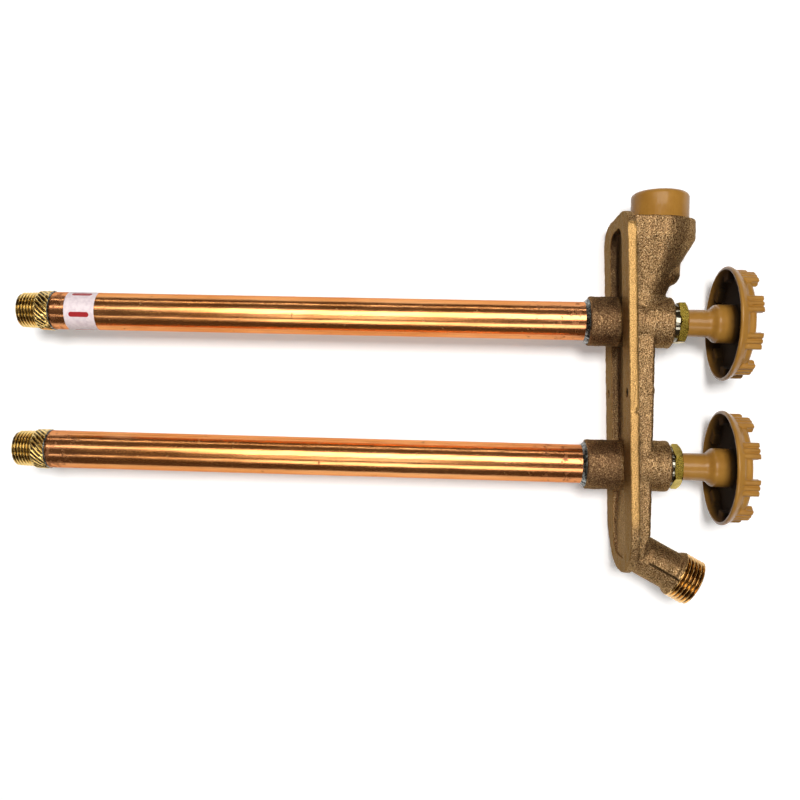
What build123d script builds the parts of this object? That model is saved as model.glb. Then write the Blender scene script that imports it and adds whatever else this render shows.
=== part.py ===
from build123d import *
import math
import os

# Hot and cold frost-free wall hydrant, in millimetres.
# The wall is the plane y = 0 and the casing tubes run into it along +Y. Handles and spout face -Y, +Z is up.
# The origin is the centre of the flange's back, midway between the two wall screws.
# Both valves slope down towards their handles so that they drain. Distances called "out" are measured
# along that slope from the wall towards the handles, and "up" is square to it.

# Layout
drain_slope = 2.0
valve_spacing = 82.55
inlet_reach = 352.7
spout_drop = 30.0

# Casing tubes and their solder
tube_radius = 11.1125
tube_wall = 1.14
solder_gap = 0.08
solder_width = 2.3
solder_length = 2.6
inlet_solder_width = 0.55
label_width = 18.0
label_offset = 9.7
label_thickness = 0.12

# Wall flange
flange_width = 68.8
flange_height = 204.5
flange_thickness = 4.5
flange_top_flat = 33.0
flange_bottom_flat = 7.0
flange_edge_rounding = 0.6
recess_width = 33.0
recess_end_rim = 8.5
recess_depth = 4.5
recess_corner = 10.0
panel_height = 3.2
panel_margin = 2.5
wall_screw_spacing = 52.0
wall_screw_hole = 2.6

# Body casting in front of the flange
spine_width = 24.0
spine_out = 18.4
spine_end_rise = 1.5
spine_end_out = 15.2
spine_slant = 12.3
spine_edge = 1.4
front_boss_radius = 14.6
front_boss_out = 29.2
rear_boss_radius = 14.3
rear_boss_depth = 18.1
boss_edge = 0.6
breaker_out = 21.8
breaker_radius = 19.9
breaker_set_down = 3.05
breaker_skirt = 10.6
breaker_cone = 13.6
foot_rise = 15.7
foot_out = 13.8
belly_rounding = 6.6
belly_drop = 5.9
belly_fillet = 2.0

# Waterways
channel_out = 12.9
channel_radius = 3.5
chamber_radius = 8.5
chamber_out = 15.5
socket_depth = 12.1
well_radius = 6.0
well_depth = 10.0
well_link_radius = 3.0
well_link_lift = 0.5
channel_cap = 1.0
float_bore = 12.6
bonnet_length = 9.2
float_room = 9.0
bonnet_bore = 14.5

# Spout with its 3/4 inch hose thread
spout_set_up = 8.47
spout_length = 31.3
spout_radius = 11.3
spout_bore = 8.0
spout_bore_back = 7.0
hose_thread_radius = 13.49
hose_thread_length = 12.2
hose_shoulder = 1.4
hose_shoulder_radius = 13.0
hose_chamfer = 1.2
parting_angle = 15.0
parting_width = 1.2
parting_height = 0.55

# Inlet fittings: 1/2 inch male pipe thread outside, 1/2 inch tube socket inside
inlet_thread_radius = 10.67
inlet_thread_length = 11.7
inlet_chamfer = 0.8
collar_radius = 11.85
collar_length = 8.1
collar_edge = 0.35
spigot_length = 11.4
sweat_radius = 7.99
sweat_depth = 12.7
port_radius = 5.5
seat_width = 1.3
seat_height = 1.0

# Fits
thread_gap = 0.06
running_gap = 0.06
guide_gap = 0.12
seat_gap = 0.05
slip_gap = 0.02

# Valve stems: one turn moves them by thread_lead
thread_lead = 3.175
turns_to_open = 1.25
stem_radius = 4.76
stem_thread_radius = 6.35
stem_stop = 0.2
stem_tail = 2.0
rod_radius = 3.97
rod_socket = 12.0
rod_pin_radius = 1.2
square_width = 6.6
square_length = 11.0
stem_set_back = 4.7

# Packing and its nut, one gap for each valve
gland_out = 23.0
washer_thickness = 0.8
nut_shank_radius = 10.9
nut_shank_length = 4.5
nut_width = 22.5
nut_height = 4.8
nut_corner = 0.6
nut_recess_radius = 8.4
nut_recess = 2.0
nut_gaps = {"hot": 3.0, "cold": 1.9}
nut_turn = {"hot": 0.0, "cold": 30.0}

# Plunger that carries the seat washer on the inlet end of the rod
plunger_length = 19.2
plunger_radius = 8.7
plunger_core = 6.4
cup_rim = 1.0
cup_depth = 2.2
seat_washer_thickness = 3.2
seat_washer_hole = 4.75
wing_count = 3
wing_width = 2.4
wing_start = 4.2
wing_length = 12.0
neck_radius = 2.6
plunger_float = 0.1
plunger_screw_head = 4.2
plunger_screw_head_height = 1.9
plunger_screw_radius = 1.6
plunger_screw_length = 10.0

# Handwheels
hub_start = 35.6
hub_radius = 7.9
shoulder_start = 50.7
shoulder_radius = 11.1
shoulder_rounding = 3.2
rim_out = 58.5
rim_radius = 32.8
rim_band = 1.6
rim_lip = 2.0
skirt_step = 2.2
valley_set_back = 4.9
valley_drop = 1.2
wheel_depth = 9.9
front_edge = 1.8
wheel_wall = 2.5
dish_radius = 22.5
dish_depth = 0.9
nose_radius = 9.0
nose_rise = 1.4
grip_count = 9
grip_set_back = 2.7
grip_reach = 3.6
grip_depth = 5.9
grip_stand = 0.8
grip_lobe = 1.65
grip_lobe_pitch = 3.1
grip_rounding = 1.4
handle_turn = {"hot": -6.5, "cold": -12.5}
screw_recess_radius = 5.3
screw_recess = 2.2
handle_screw_head = 4.7
handle_screw_head_height = 2.6
handle_screw_radius = 2.4
handle_screw_length = 12.0
slot_width = 1.0
slot_depth = 1.1

# Vacuum breaker
bonnet_flange_radius = 14.4
bonnet_flange = 1.6
bonnet_hex = 20.0
bonnet_hex_height = 3.6
post_radius = 4.0
post_length = 7.0
vent_count = 6
vent_radius = 1.6
vent_circle = 8.4
ring_section = 0.9
float_radius = 11.8
float_thickness = 3.0
float_wings = 4
float_wing_width = 1.6
float_wing_radius = 5.6
float_wing_length = 7.5
seal_radius = 11.3
seal_thickness = 2.0
cap_radius = 16.3
cap_gap = 0.7
cap_height = 15.6
cap_wall = 1.8
cap_rounding = 2.8
cap_boss_radius = 6.6

# Worked out from the above
cos_slope = math.cos(math.radians(drain_slope))
sin_slope = math.sin(math.radians(drain_slope))
outward = (0, -cos_slope, -sin_slope)
upward = (0, -sin_slope, cos_slope)
spout_direction = (0, -math.cos(math.radians(spout_drop)), -math.sin(math.radians(spout_drop)))
valve_heights = {"hot": valve_spacing / 2, "cold": -valve_spacing / 2}
tube_bore = tube_radius - tube_wall
socket_out = socket_depth - rear_boss_depth
collar_out = inlet_thread_length + collar_length - inlet_reach
seat_out = collar_out + spigot_length + seat_height
washer_out = seat_out + seat_gap
cup_floor_out = washer_out + seat_washer_thickness
plunger_front_out = cup_floor_out - cup_depth
plunger_end_out = plunger_front_out + plunger_length
front_out = rim_out + wheel_depth
nose_out = front_out + nose_rise
skirt_radius = rim_radius - skirt_step
valley_out = rim_out + valley_set_back
grip_start = rim_out + grip_set_back
grip_tip = front_out + grip_reach
grip_radius = skirt_radius + grip_stand
stem_end = nose_out - screw_recess - stem_set_back
stem_travel = thread_lead * turns_to_open
stem_thread_end = gland_out - stem_travel - stem_stop
recess_height = flange_height - 2 * recess_end_rim
spout_up = spout_set_up - flange_height / 2
spine_bottom = spout_up + spine_end_rise
breaker_top = flange_height / 2 - breaker_set_down
cavity_floor = breaker_top - bonnet_length - float_room
bonnet_base = cavity_floor + float_room
well_link_up = cavity_floor - well_depth + well_link_radius + well_link_lift
foot_radius = spine_width / 2
foot_up = valve_spacing / 2 + foot_rise
skirt_up = breaker_top - breaker_skirt
waist_up = skirt_up - breaker_cone
waist_taper = (waist_up - foot_up) / (skirt_up - foot_up)
waist_radius = foot_radius + (breaker_radius - foot_radius) * waist_taper
waist_out = breaker_out + foot_radius - waist_radius
belly_up = waist_up - belly_drop
belly_foot = belly_up - belly_rounding - belly_fillet
belly_neck = foot_radius - belly_rounding - belly_fillet


def place(out, up=0.0, side=0.0):
    """The point at a distance out from the wall, up and to one side, in the sloping valve directions."""
    return (side, out * outward[1] + up * upward[1], out * outward[2] + up * upward[2])


def across(out, up=0.0):
    """A section plane square to the valve axis at height up; its Y is up, its Z is outward."""
    return Plane(origin=place(out, up), x_dir=(1, 0, 0), z_dir=outward)


def level(up, out=0.0):
    """A section plane square to the up direction; its X is sideways and its Y is towards the wall."""
    return Plane(origin=place(out, up), x_dir=(1, 0, 0), z_dir=upward)


def turn(up, *points, mode=Mode.ADD):
    """Turns a closed outline of (out, radius) points about the valve axis at height up.

    A point's third number, where it has one, rounds its corner by that radius.
    """
    plane = Plane(origin=place(0, up), x_dir=outward, z_dir=(-1, 0, 0))
    with BuildSketch(plane) as outline:
        with BuildLine():
            Polyline(*(point[:2] for point in points), close=True)
        make_face()
        for out, radius, rounding in (point for point in points if len(point) == 3):
            fillet(outline.vertices().sort_by_distance((out, radius))[0], rounding)
    return revolve(outline.sketch, axis=Axis(plane.origin, plane.x_dir), mode=mode)


def drill(up, start, end, radius, mode=Mode.SUBTRACT):
    """A round bore about the valve axis at height up, from one out distance to another."""
    return turn(up, (start, 0), (start, radius), (end, radius), (end, 0), mode=mode)


def finish(piece, label):
    """Names a finished piece and writes it."""
    piece.part.label = label
    export_step(piece.part, f"parts/{label}.step")


os.makedirs("parts", exist_ok=True)

# Body casting: flange, water channel, valve bosses, vacuum breaker housing and spout in one piece
with BuildPart() as body_casting:
    with BuildSketch(Plane.XZ) as flange_outline:
        Rectangle(flange_width, flange_height)
        fillet(flange_outline.vertices().group_by(Axis.Y)[-1], (flange_width - flange_top_flat) / 2)
        fillet(flange_outline.vertices().group_by(Axis.Y)[0], (flange_width - flange_bottom_flat) / 2)
    extrude(amount=flange_thickness)
    fillet(body_casting.faces().sort_by(Axis.Y)[0].edges(), flange_edge_rounding)
    panel_width = recess_width + 2 * panel_margin
    with BuildSketch(Plane.XZ.offset(flange_thickness)):
        RectangleRounded(panel_width, recess_height + 2 * panel_margin, recess_corner + panel_margin)
    extrude(amount=panel_height)

    # The spine holds the water channel, and its rounded front edge slants back beside the spout
    for section_up, front in (
        (spine_bottom, spine_end_out),
        (spine_bottom + spine_slant, spine_out),
        (valve_heights["hot"], spine_out),
    ):
        with BuildSketch(level(section_up)) as spine_section:
            with Locations((0, -front / 2)):
                Rectangle(spine_width, front)
            fillet(spine_section.vertices().group_by(Axis.Y)[0], spine_edge)
    loft(ruled=True)

    # The vacuum breaker housing spreads from the spine's width, with straight sides and a round front
    for section_up, centre_out, radius in (
        (valve_heights["hot"], foot_out, foot_radius),
        (foot_up, foot_out, foot_radius),
        (waist_up, waist_out, waist_radius),
        (skirt_up, breaker_out, breaker_radius),
        (breaker_top, breaker_out, breaker_radius),
    ):
        with BuildSketch(level(section_up)):
            with BuildLine():
                Polyline((-radius, -centre_out), (-radius, 0), (radius, 0), (radius, -centre_out))
                ThreePointArc((radius, -centre_out), (0, -centre_out - radius), (-radius, -centre_out))
            make_face()
    loft(ruled=True)

    # Under the float's seat it bulges into a rounded belly
    belly_side = Plane(origin=place(breaker_out), x_dir=(1, 0, 0), z_dir=outward)
    with BuildSketch(belly_side):
        with BuildLine():
            Polyline(
                (foot_radius, belly_up),
                (foot_radius, waist_up),
                (0, waist_up),
                (0, belly_foot),
                (belly_neck, belly_foot),
            )
            RadiusArc(
                (belly_neck, belly_foot),
                (belly_neck + belly_fillet, belly_foot + belly_fillet),
                belly_fillet,
            )
            RadiusArc(
                (belly_neck + belly_fillet, belly_foot + belly_fillet),
                (foot_radius, belly_up),
                -belly_rounding,
            )
        make_face()
    revolve(axis=Axis(place(breaker_out), upward))

    for height in valve_heights.values():
        turn(
            height,
            (0, 0),
            (0, front_boss_radius),
            (front_boss_out - boss_edge, front_boss_radius),
            (front_boss_out, front_boss_radius - boss_edge),
            (front_boss_out, 0),
        )

    # The spout leaves the spine at its own drop angle, with the mould's parting line low on both sides
    spout_root = Plane(origin=place(spine_out, spout_up), x_dir=(1, 0, 0), z_dir=spout_direction)
    spout_back = spine_out - flange_thickness
    plain_length = spout_length - hose_thread_length
    with BuildSketch(Plane(origin=spout_root.origin, x_dir=spout_direction, z_dir=(-1, 0, 0))):
        with BuildLine():
            Polyline(
                (-spout_back, 0),
                (-spout_back, spout_radius),
                (plain_length - hose_shoulder - (hose_shoulder_radius - spout_radius), spout_radius),
                (plain_length - hose_shoulder, hose_shoulder_radius),
                (plain_length, hose_shoulder_radius),
                (plain_length, hose_thread_radius),
                (spout_length - hose_chamfer, hose_thread_radius),
                (spout_length, hose_thread_radius - hose_chamfer),
                (spout_length, 0),
                close=True,
            )
        make_face()
    revolve(axis=Axis(spout_root.origin, spout_direction))
    with BuildSketch(spout_root.offset(-spout_back)):
        for line_angle in (-parting_angle, 180 + parting_angle):
            with PolarLocations(spout_radius, 1, start_angle=line_angle):
                Rectangle(2 * parting_height, parting_width)
    extrude(amount=spout_back + plain_length - hose_shoulder - 1)

    # Everything behind the wall plane goes, then the back is recessed and the rear bosses are added
    with BuildSketch(Plane.XZ):
        Rectangle(2 * flange_width, 2 * flange_height)
    extrude(amount=-flange_height, mode=Mode.SUBTRACT)
    with BuildSketch(Plane.XZ):
        RectangleRounded(recess_width, recess_height, recess_corner)
    extrude(amount=recess_depth, mode=Mode.SUBTRACT)
    for height in valve_heights.values():
        turn(
            height,
            (-rear_boss_depth, 0),
            (-rear_boss_depth, rear_boss_radius - boss_edge),
            (boss_edge - rear_boss_depth, rear_boss_radius),
            (flange_thickness + panel_height, rear_boss_radius),
            (flange_thickness + panel_height, 0),
        )

    # Waterways
    for height in valve_heights.values():
        drill(height, -rear_boss_depth, socket_out, tube_radius + solder_gap)
        drill(height, socket_out, chamber_out, chamber_radius)
        drill(height, chamber_out, gland_out, stem_thread_radius + thread_gap)
        drill(height, gland_out, front_boss_out, nut_shank_radius + thread_gap)
    with BuildSketch(level(spout_up, channel_out)):
        Circle(channel_radius)
    extrude(amount=well_link_up + well_link_radius + channel_cap - spout_up, mode=Mode.SUBTRACT)
    with BuildSketch(across(channel_out, well_link_up)):
        Circle(well_link_radius)
    extrude(amount=breaker_out - channel_out, mode=Mode.SUBTRACT)
    with BuildSketch(level(cavity_floor - well_depth, breaker_out)):
        Circle(well_radius)
    extrude(amount=well_depth, mode=Mode.SUBTRACT)
    with BuildSketch(level(cavity_floor, breaker_out)):
        Circle(float_bore)
    extrude(amount=float_room, mode=Mode.SUBTRACT)
    with BuildSketch(level(bonnet_base, breaker_out)):
        Circle(bonnet_bore)
    extrude(amount=breaker_top - bonnet_base, mode=Mode.SUBTRACT)
    with BuildSketch(spout_root.offset(spout_length)):
        Circle(spout_bore)
    extrude(amount=-(spout_length + spout_bore_back), mode=Mode.SUBTRACT)

    # Wall screw holes
    with BuildSketch(Plane.XZ):
        with GridLocations(wall_screw_spacing, 1, 2, 1):
            Circle(wall_screw_hole)
    extrude(amount=flange_thickness, mode=Mode.SUBTRACT)
finish(body_casting, "body_casting")

# One frost-free valve for hot water above and one for cold water below
for side, height in valve_heights.items():
    with BuildPart() as casing_tube:
        turn(
            height,
            (collar_out, tube_bore),
            (collar_out, tube_radius),
            (socket_out, tube_radius),
            (socket_out, tube_bore),
        )
    finish(casing_tube, f"{side}_casing_tube")

    with BuildPart() as body_solder:
        turn(
            height,
            (-rear_boss_depth, tube_radius),
            (-rear_boss_depth, tube_radius + solder_width),
            (-rear_boss_depth - solder_length / 3, tube_radius + solder_width / 2),
            (-rear_boss_depth - solder_length, tube_radius),
        )
    finish(body_solder, f"{side}_body_solder")

    with BuildPart() as inlet_fitting:
        turn(
            height,
            (-inlet_reach, sweat_radius),
            (-inlet_reach, inlet_thread_radius - inlet_chamfer),
            (inlet_chamfer - inlet_reach, inlet_thread_radius),
            (inlet_thread_length - inlet_reach, inlet_thread_radius),
            (inlet_thread_length - inlet_reach, collar_radius - collar_edge),
            (inlet_thread_length - inlet_reach + collar_edge, collar_radius),
            (collar_out - collar_edge, collar_radius),
            (collar_out, collar_radius - collar_edge),
            (collar_out, tube_bore - slip_gap),
            (seat_out - seat_height, tube_bore - slip_gap),
            (seat_out - seat_height, port_radius + seat_width + seat_height / 2),
            (seat_out, port_radius + seat_width),
            (seat_out, port_radius),
            (sweat_depth - inlet_reach, port_radius),
            (sweat_depth - inlet_reach, sweat_radius),
        )
    finish(inlet_fitting, f"{side}_inlet_fitting")

    with BuildPart() as inlet_solder:
        turn(
            height,
            (collar_out, tube_radius),
            (collar_out, tube_radius + inlet_solder_width - collar_edge / 2),
            (collar_out + inlet_solder_width, tube_radius),
        )
    finish(inlet_solder, f"{side}_inlet_solder")

    with BuildPart() as packing_washer:
        turn(
            height,
            (gland_out, stem_radius + 4 * running_gap),
            (gland_out, nut_shank_radius),
            (gland_out + washer_thickness, nut_shank_radius),
            (gland_out + washer_thickness, stem_radius + 4 * running_gap),
        )
    finish(packing_washer, f"{side}_packing_washer")

    hex_out = front_boss_out + nut_gaps[side]
    nut_nose = hex_out - nut_shank_length
    with BuildPart() as packing:
        turn(
            height,
            (gland_out + washer_thickness, stem_radius + running_gap),
            (gland_out + washer_thickness, nut_shank_radius - running_gap),
            (nut_nose, nut_shank_radius - running_gap),
            (nut_nose, stem_radius + running_gap),
        )
    finish(packing, f"{side}_packing")

    # The nut's hexagon is cut from a bar with chamfered corners
    corner_radius = nut_width / math.sqrt(3)
    with BuildPart() as packing_nut:
        with BuildSketch(across(hex_out, height)):
            RegularPolygon(corner_radius, 6, rotation=nut_turn[side])
        extrude(amount=nut_height)
        turn(
            height,
            (hex_out, 0),
            (hex_out, nut_width / 2 + nut_corner / 2),
            (hex_out + nut_corner, corner_radius),
            (hex_out + nut_height - 2 * nut_corner, corner_radius),
            (hex_out + nut_height, nut_width / 2),
            (hex_out + nut_height, 0),
            mode=Mode.INTERSECT,
        )
        drill(height, nut_nose, hex_out, nut_shank_radius, mode=Mode.ADD)
        drill(height, hex_out + nut_height - nut_recess, hex_out + nut_height, nut_recess_radius)
        drill(height, nut_nose, hex_out + nut_height, stem_radius + running_gap)
    finish(packing_nut, f"{side}_packing_nut")

    # The plunger slides in the tube on its wings and doesn't turn on the seat
    with BuildPart() as plunger:
        turn(
            height,
            (plunger_front_out, 0),
            (plunger_front_out, plunger_radius),
            (plunger_front_out + wing_start, plunger_radius),
            (plunger_front_out + wing_start + plunger_radius - plunger_core, plunger_core),
            (plunger_end_out, plunger_core),
            (plunger_end_out, 0),
        )
        with BuildSketch(across(plunger_front_out + wing_start, height)):
            with PolarLocations((tube_bore - guide_gap) / 2, wing_count):
                Rectangle(tube_bore - guide_gap, wing_width)
        extrude(amount=wing_length)
        turn(
            height,
            (plunger_front_out, tube_bore - guide_gap),
            (plunger_front_out, 2 * tube_bore),
            (plunger_end_out, 2 * tube_bore),
            (plunger_end_out, tube_bore - guide_gap),
            mode=Mode.SUBTRACT,
        )
        drill(height, plunger_front_out, cup_floor_out, plunger_radius - cup_rim)
        drill(height, cup_floor_out, plunger_end_out, neck_radius + running_gap)
    finish(plunger, f"{side}_plunger")

    with BuildPart() as seat_washer:
        turn(
            height,
            (washer_out, seat_washer_hole),
            (washer_out, plunger_radius - cup_rim - slip_gap),
            (cup_floor_out, plunger_radius - cup_rim - slip_gap),
            (cup_floor_out, seat_washer_hole),
        )
    finish(seat_washer, f"{side}_seat_washer")

    # The rod ends in a neck that turns inside the plunger, held by a screw
    neck_end = cup_floor_out - plunger_float / 2
    rod_shoulder = plunger_end_out + plunger_float / 2
    pin_out = stem_tail + rod_socket / 2
    with BuildPart() as operating_rod:
        turn(
            height,
            (neck_end, 0),
            (neck_end, neck_radius),
            (rod_shoulder, neck_radius),
            (rod_shoulder, rod_radius),
            (stem_tail + rod_socket, rod_radius),
            (stem_tail + rod_socket, 0),
        )
        drill(height, neck_end, neck_end + plunger_screw_length, plunger_screw_radius + slip_gap)
        with BuildSketch(level(height, pin_out)):
            Circle(rod_pin_radius + slip_gap)
        extrude(amount=rod_radius, both=True, mode=Mode.SUBTRACT)
    finish(operating_rod, f"{side}_operating_rod")

    with BuildPart() as plunger_screw:
        head_out = neck_end - plunger_screw_head_height
        turn(
            height,
            (head_out, 0),
            (head_out, plunger_screw_head - plunger_screw_radius / 2),
            (head_out + plunger_screw_radius / 2, plunger_screw_head),
            (neck_end, plunger_screw_head),
            (neck_end, plunger_screw_radius),
            (neck_end + plunger_screw_length, plunger_screw_radius),
            (neck_end + plunger_screw_length, 0),
        )
        with BuildSketch(across(head_out, height)):
            Rectangle(2 * plunger_screw_head, slot_width)
        extrude(amount=slot_depth, mode=Mode.SUBTRACT)
    finish(plunger_screw, f"{side}_plunger_screw")

    # The stem's thread screws through the boss, and its square end drives with the handwheel
    with BuildPart() as stem:
        turn(
            height,
            (stem_tail, 0),
            (stem_tail, stem_thread_radius),
            (stem_thread_end, stem_thread_radius),
            (stem_thread_end, stem_radius),
            (stem_end - square_length, stem_radius),
            (stem_end - square_length, 0),
        )
        with BuildSketch(across(stem_end - square_length, height)):
            Rectangle(square_width, square_width)
            Circle(stem_radius, mode=Mode.INTERSECT)
        extrude(amount=square_length)
        drill(height, stem_tail, stem_tail + rod_socket, rod_radius + slip_gap)
        drill(height, stem_end - handle_screw_length, stem_end, handle_screw_radius + slip_gap)
        with BuildSketch(level(height, pin_out)):
            Circle(rod_pin_radius + slip_gap)
        extrude(amount=stem_thread_radius, both=True, mode=Mode.SUBTRACT)
    finish(stem, f"{side}_stem")

    with BuildPart() as rod_pin:
        with BuildSketch(level(height, pin_out)):
            Circle(rod_pin_radius)
        extrude(amount=rod_radius + (stem_thread_radius - rod_radius) / 2, both=True)
    finish(rod_pin, f"{side}_rod_pin")

    # Each grip is three fingers side by side, with their tips rounded over
    with BuildPart() as grips:
        lobe_circle = grip_radius - grip_lobe
        lobe_step = math.degrees(grip_lobe_pitch / lobe_circle)
        grip_root = grip_depth - grip_lobe
        first_grip = 90 + handle_turn[side]
        with BuildSketch(across(grip_start, height)):
            for finger in (-1, 0, 1):
                with PolarLocations(lobe_circle, grip_count, start_angle=first_grip + finger * lobe_step):
                    Circle(grip_lobe)
            with PolarLocations(lobe_circle - grip_root / 2, grip_count, start_angle=first_grip):
                Rectangle(grip_root, 2 * grip_lobe_pitch + grip_lobe)
        extrude(amount=grip_tip - grip_start)
        turn(
            height,
            (grip_start, 0),
            (grip_start, grip_radius),
            (grip_tip - grip_rounding, grip_radius),
            (grip_tip - grip_rounding / 3, grip_radius - grip_rounding / 3),
            (grip_tip, grip_radius - grip_rounding),
            (grip_tip, grip_radius - grip_depth + grip_rounding / 2),
            (grip_tip - grip_rounding, grip_radius - grip_depth),
            (grip_tip - grip_rounding, 0),
            mode=Mode.INTERSECT,
        )

    with BuildPart() as handle:
        turn(
            height,
            (hub_start, 0),
            (hub_start, hub_radius - front_edge / 3),
            (hub_start + front_edge / 3, hub_radius),
            (shoulder_start, hub_radius, shoulder_rounding),
            (shoulder_start + shoulder_radius - hub_radius, shoulder_radius, shoulder_rounding),
            (front_out - wheel_wall, shoulder_radius),
            (front_out - wheel_wall, skirt_radius - rim_lip),
            (rim_out + rim_band, rim_radius - rim_lip),
            (rim_out, rim_radius - rim_lip),
            (rim_out, rim_radius - rim_lip / 3),
            (rim_out + rim_lip / 3, rim_radius),
            (rim_out + rim_band, rim_radius),
            (grip_start + rim_band, skirt_radius + rim_lip / 3),
            (valley_out, skirt_radius),
            (valley_out + valley_drop, skirt_radius - valley_drop),
            (front_out - front_edge, skirt_radius - valley_drop),
            (front_out - front_edge / 3, skirt_radius - valley_drop - front_edge / 3),
            (front_out, skirt_radius - valley_drop - front_edge),
            (front_out, dish_radius),
            (front_out - dish_depth, dish_radius - wheel_wall),
            (front_out - dish_depth, nose_radius + dish_depth),
            (nose_out - front_edge / 3, nose_radius),
            (nose_out, nose_radius - front_edge / 3),
            (nose_out, 0),
        )
        add(grips.part)
        drill(height, nose_out - screw_recess, nose_out, screw_recess_radius)
        drill(height, hub_start, nose_out, handle_screw_radius + 2 * slip_gap)
        drill(height, hub_start, stem_end - square_length, stem_radius + slip_gap)
        with BuildSketch(across(stem_end - square_length, height)):
            Rectangle(square_width + 2 * slip_gap, square_width + 2 * slip_gap)
        extrude(amount=square_length, mode=Mode.SUBTRACT)
    finish(handle, f"{side}_handle")

    with BuildPart() as handle_screw:
        seat = nose_out - screw_recess
        turn(
            height,
            (stem_end - handle_screw_length + 1, 0),
            (stem_end - handle_screw_length + 1, handle_screw_radius),
            (seat, handle_screw_radius),
            (seat, handle_screw_head),
            (seat + handle_screw_head_height / 2, handle_screw_head),
            (seat + handle_screw_head_height, handle_screw_head - handle_screw_head_height / 2),
            (seat + handle_screw_head_height, 0),
        )
        with BuildSketch(across(seat + handle_screw_head_height, height)):
            Rectangle(2 * handle_screw_head, slot_width, rotation=first_grip)
        extrude(amount=-slot_depth, mode=Mode.SUBTRACT)
    finish(handle_screw, f"{side}_handle_screw")

# Label band round the hot tube only
label_out = collar_out + label_offset
with BuildPart() as hot_label:
    turn(
        valve_heights["hot"],
        (label_out, tube_radius),
        (label_out, tube_radius + label_thickness),
        (label_out + label_width, tube_radius + label_thickness),
        (label_out + label_width, tube_radius),
    )
finish(hot_label, "hot_label")

# Vacuum breaker, from the float up to the cap
with BuildPart() as breaker_float:
    with BuildSketch(level(cavity_floor, breaker_out)):
        Circle(float_radius)
    extrude(amount=float_thickness)
    with BuildSketch(level(cavity_floor, breaker_out)):
        with PolarLocations(float_wing_radius / 2, float_wings):
            Rectangle(float_wing_radius, float_wing_width)
    extrude(amount=-float_wing_length)
finish(breaker_float, "breaker_float")

seal_base = cavity_floor + float_thickness
with BuildPart() as float_seal:
    with BuildSketch(level(seal_base, breaker_out)):
        Circle(seal_radius)
    extrude(amount=seal_thickness)
finish(float_seal, "float_seal")

with BuildPart() as breaker_bonnet:
    with BuildSketch(level(bonnet_base, breaker_out)):
        Circle(bonnet_bore - thread_gap)
    extrude(amount=breaker_top - bonnet_base - 2 * ring_section)
    with BuildSketch(level(breaker_top - 2 * ring_section, breaker_out)):
        Circle(bonnet_bore - 2 * ring_section)
    extrude(amount=2 * ring_section)
    with BuildSketch(level(breaker_top, breaker_out)):
        Circle(bonnet_flange_radius)
    extrude(amount=bonnet_flange)
    with BuildSketch(level(breaker_top + bonnet_flange, breaker_out)):
        RegularPolygon(bonnet_hex / math.sqrt(3), 6)
    extrude(amount=bonnet_hex_height)
    with BuildSketch(level(breaker_top + bonnet_flange + bonnet_hex_height, breaker_out)):
        Circle(post_radius)
    extrude(amount=post_length)
    with BuildSketch(level(bonnet_base, breaker_out)):
        with PolarLocations(vent_circle, vent_count):
            Circle(vent_radius)
    extrude(amount=breaker_top + bonnet_flange + bonnet_hex_height - bonnet_base, mode=Mode.SUBTRACT)
finish(breaker_bonnet, "breaker_bonnet")

with BuildPart() as bonnet_ring:
    with BuildSketch(level(breaker_top - 2 * ring_section, breaker_out)):
        Circle(bonnet_bore - thread_gap)
        Circle(bonnet_bore - 2 * ring_section + slip_gap, mode=Mode.SUBTRACT)
    extrude(amount=2 * ring_section)
finish(bonnet_ring, "bonnet_ring")

# The cap shields the vents and leaves an air gap all round above the housing
cap_base = breaker_top + cap_gap
cap_top = cap_base + cap_height
with BuildPart() as breaker_cap:
    with BuildSketch(level(cap_base, breaker_out)):
        Circle(cap_radius)
    extrude(amount=cap_height)
    fillet(breaker_cap.edges().group_by(Axis.Z)[-1], cap_rounding)
    with BuildSketch(level(cap_base, breaker_out)):
        Circle(cap_radius - cap_wall)
        Circle(cap_boss_radius, mode=Mode.SUBTRACT)
    extrude(amount=cap_height - cap_wall, mode=Mode.SUBTRACT)
    with BuildSketch(level(cap_base, breaker_out)):
        Circle(cap_boss_radius)
    extrude(amount=breaker_top + bonnet_flange + bonnet_hex_height - cap_base, mode=Mode.SUBTRACT)
    with BuildSketch(level(cap_base, breaker_out)):
        Circle(post_radius + thread_gap)
    extrude(amount=cap_height - cap_wall, mode=Mode.SUBTRACT)
finish(breaker_cap, "breaker_cap")
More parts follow.
